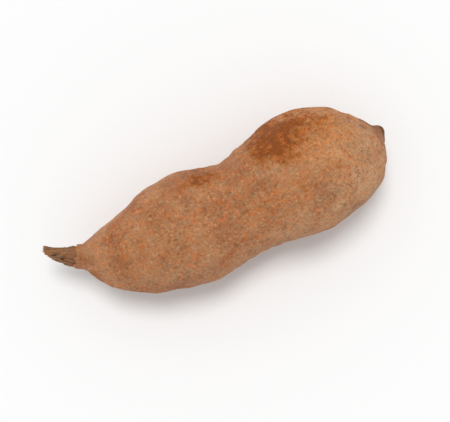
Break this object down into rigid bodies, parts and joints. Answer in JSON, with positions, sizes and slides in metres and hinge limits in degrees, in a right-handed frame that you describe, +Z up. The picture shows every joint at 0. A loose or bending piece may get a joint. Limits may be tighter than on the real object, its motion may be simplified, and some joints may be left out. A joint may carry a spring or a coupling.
{
  "type": "tamarind pod",
  "caption": "Ripe tamarind pod as picked: a curved, brittle brown shell with rounded swellings, a waist, seams along its edges, a small beak and a short woody stalk.",
  "frame": {"origin": "on the resting plane, under the middle of the whole outline, stalk included", "axes": "+X along the pod from the stalk to the beak, +Y towards the outer suture's side, +Z up from the surface that the pod lies on"},
  "size_m": [0.0748, 0.0258, 0.0212],
  "materials": {
    "shell": "matte",
    "stalk_wood": "matte"
  },
  "bodies": {
    "root": {"pod": "shell", "stalk": "stalk_wood"}
  },
  "joints": []
}
